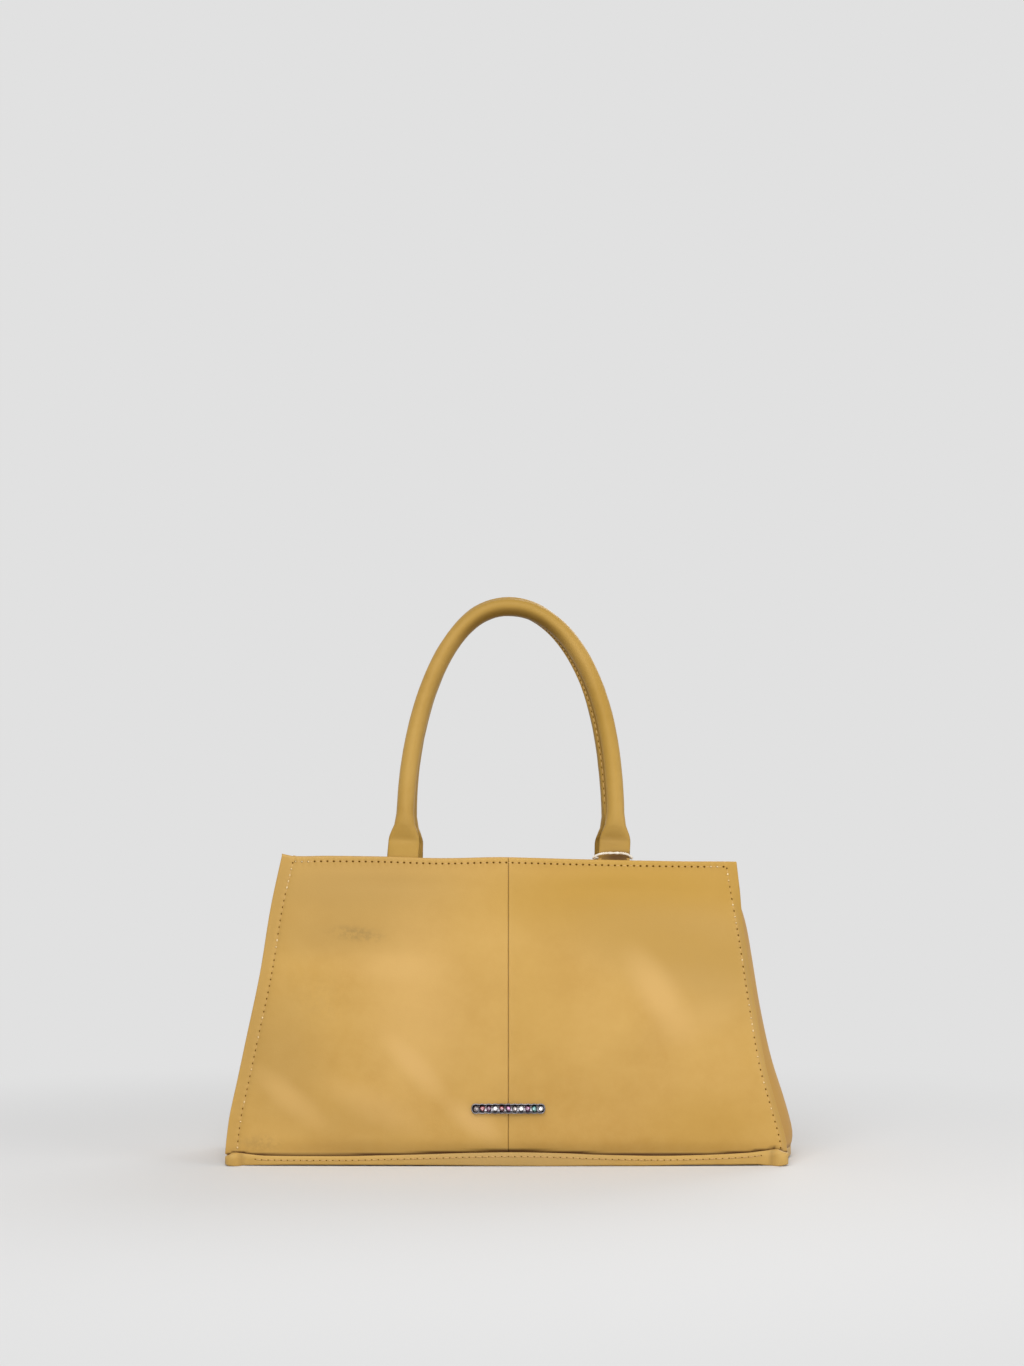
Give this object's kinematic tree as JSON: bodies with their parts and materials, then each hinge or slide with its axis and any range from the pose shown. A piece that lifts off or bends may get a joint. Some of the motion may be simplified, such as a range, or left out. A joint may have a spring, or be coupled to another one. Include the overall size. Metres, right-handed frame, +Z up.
{
  "type": "mini bag",
  "caption": "Small tapered leather tote with two rolled handles, a lined open mouth, a magnetic snap, inner pockets and a small bar of stones.",
  "frame": {"origin": "centre of the base's underside, on the surface that the bag stands on", "axes": "+X to the right as the front is seen, -Y out of the front, +Z up"},
  "size_m": [0.3056, 0.0944, 0.3121],
  "materials": {
    "camel_leather": "smooth satin mustard camel leather",
    "facing_leather": "smooth satin leather, a shade darker",
    "lining_cloth": "plain woven cotton twill",
    "grey_board": "matt grey board",
    "stiff_band": "bonded non-woven band",
    "cotton_cord": "twisted cotton cord",
    "white_string": "thin white cotton string",
    "gunmetal": "dark plated metal",
    "cut_stones": "small cut glass stones, plum, smoke and clear",
    "nickel": "satin nickel plate",
    "zip_metal": "dark metal zip",
    "zip_cloth": "woven zip tape"
  },
  "bodies": {
    "bag": {"base_board": "grey_board", "base_panel": "camel_leather", "facing_front": "facing_leather", "facing_left": "facing_leather", "facing_rear": "facing_leather", "facing_right": "facing_leather", "front_panel_left": "camel_leather", "front_panel_right": "camel_leather", "gusset_left": "camel_leather", "gusset_right": "camel_leather", "handle_anchor_front_left": "camel_leather", "handle_anchor_front_right": "camel_leather", "handle_anchor_rear_left": "camel_leather", "handle_anchor_rear_right": "camel_leather", "lining_base": "lining_cloth", "lining_front": "lining_cloth", "lining_left": "lining_cloth", "lining_rear": "lining_cloth", "lining_right": "lining_cloth", "plaque_backing": "gunmetal", "plaque_setting": "gunmetal", "plaque_stone_1": "cut_stones", "plaque_stone_10": "cut_stones", "plaque_stone_11": "cut_stones", "plaque_stone_2": "cut_stones", "plaque_stone_3": "cut_stones", "plaque_stone_4": "cut_stones", "plaque_stone_5": "cut_stones", "plaque_stone_6": "cut_stones", "plaque_stone_7": "cut_stones", "plaque_stone_8": "cut_stones", "plaque_stone_9": "cut_stones", "rear_panel_left": "camel_leather", "rear_panel_right": "camel_leather", "seam_tape_front": "stiff_band", "seam_tape_rear": "stiff_band", "slip_pocket": "lining_cloth", "snap_post": "nickel", "snap_post_washer": "nickel", "snap_socket": "nickel", "snap_socket_washer": "nickel", "top_band_front": "stiff_band", "top_band_rear": "stiff_band", "zip_pocket_bag": "lining_cloth", "zip_stop_left": "zip_metal", "zip_stop_right": "zip_metal", "zip_tape_lower": "zip_cloth", "zip_tape_upper": "zip_cloth", "zip_teeth": "zip_metal"},
    "front_handle": {"front_handle_cover": "camel_leather", "front_handle_core": "cotton_cord", "tag_string": "white_string"},
    "rear_handle": {"rear_handle_cover": "camel_leather", "rear_handle_core": "cotton_cord"},
    "zip_slider": {"zip_slider": "zip_metal"},
    "zip_pull": {"zip_pull": "zip_metal"}
  },
  "joints": [
    {"name": "front_handle_swing", "type": "hinge", "parent": "bag", "child": "front_handle", "pos_m": [0, -0.03, 0.1665], "axis": [1, 0, 0], "range_deg": [0, 168]},
    {"name": "rear_handle_swing", "type": "hinge", "parent": "bag", "child": "rear_handle", "pos_m": [0, 0.03, 0.1665], "axis": [-1, 0, 0], "range_deg": [0, 168]},
    {"name": "zip_slide", "type": "slide", "parent": "bag", "child": "zip_slider", "axis": [1, 0, 0], "range_m": [0, 0.12]},
    {"name": "zip_pull_swing", "type": "hinge", "parent": "zip_slider", "child": "zip_pull", "pos_m": [-0.06025, 0.02728, 0.11083], "axis": [-1, 0, 0], "range_deg": [-8, 150]}
  ]
}
